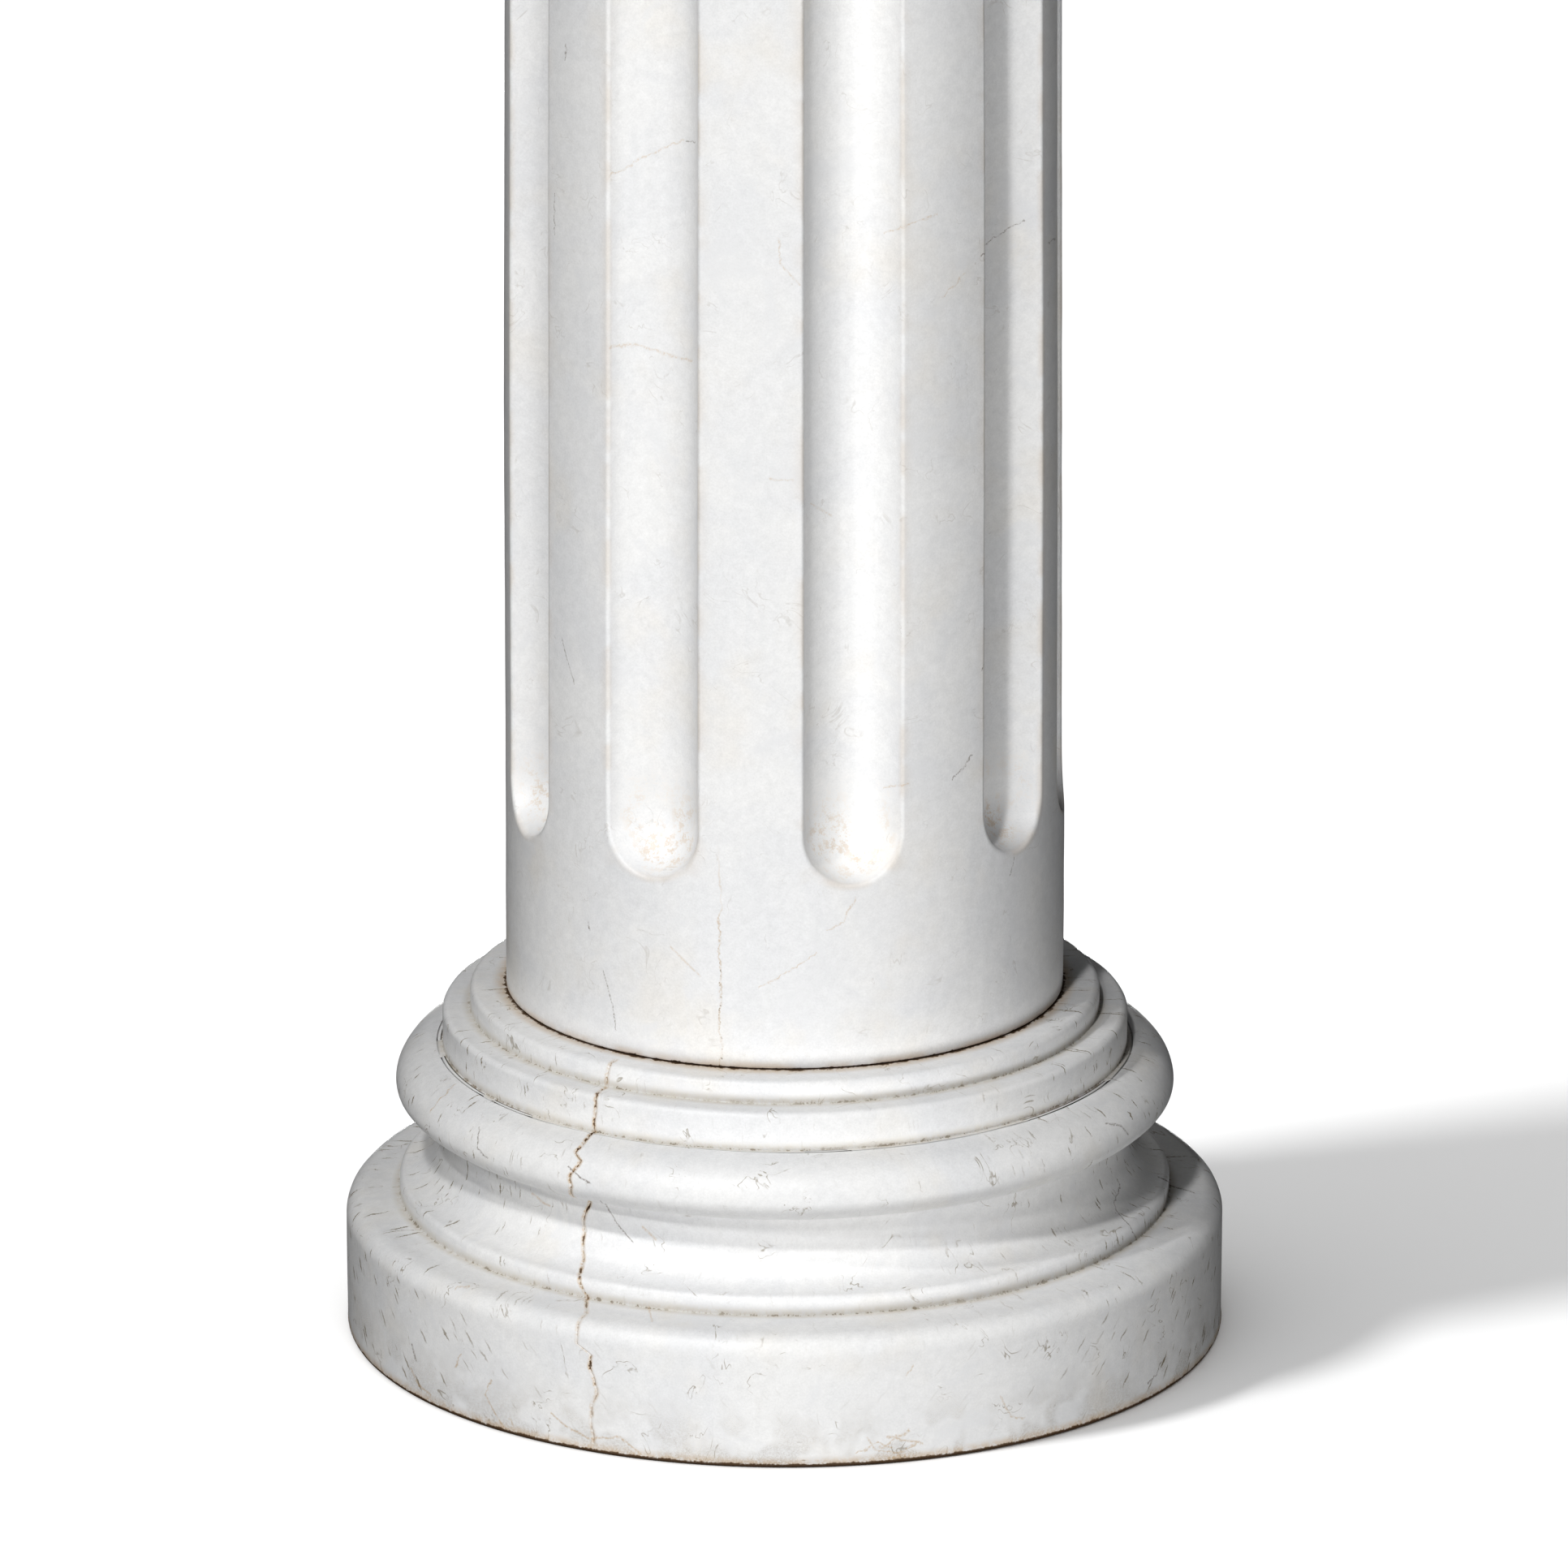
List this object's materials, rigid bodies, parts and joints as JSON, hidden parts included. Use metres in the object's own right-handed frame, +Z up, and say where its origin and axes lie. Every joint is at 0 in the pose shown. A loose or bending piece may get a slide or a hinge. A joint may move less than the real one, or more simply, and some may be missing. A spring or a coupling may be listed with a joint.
{
  "type": "fluted marble column",
  "caption": "Tall round stone column: a moulded round base, a tapering shaft with round-ended flutes, and a plain capital with a square top slab.",
  "frame": {"origin": "middle of the underside of the round plinth, on the floor", "axes": "+Z up along the column's axis; -Y towards the viewer of the picture's front; +X to the viewer's right"},
  "size_m": [0.633, 0.633, 2.8],
  "materials": {
    "base_marble": "honed white marble, faint grey cloud, brown hairline veins, dirt in the corners",
    "shaft_marble": "honed white marble, faint grey cloud, fine short veins",
    "capital_marble": "honed white marble, plainer than the base"
  },
  "bodies": {
    "root": {"base": "base_marble", "shaft": "shaft_marble", "capital": "capital_marble"}
  },
  "joints": []
}
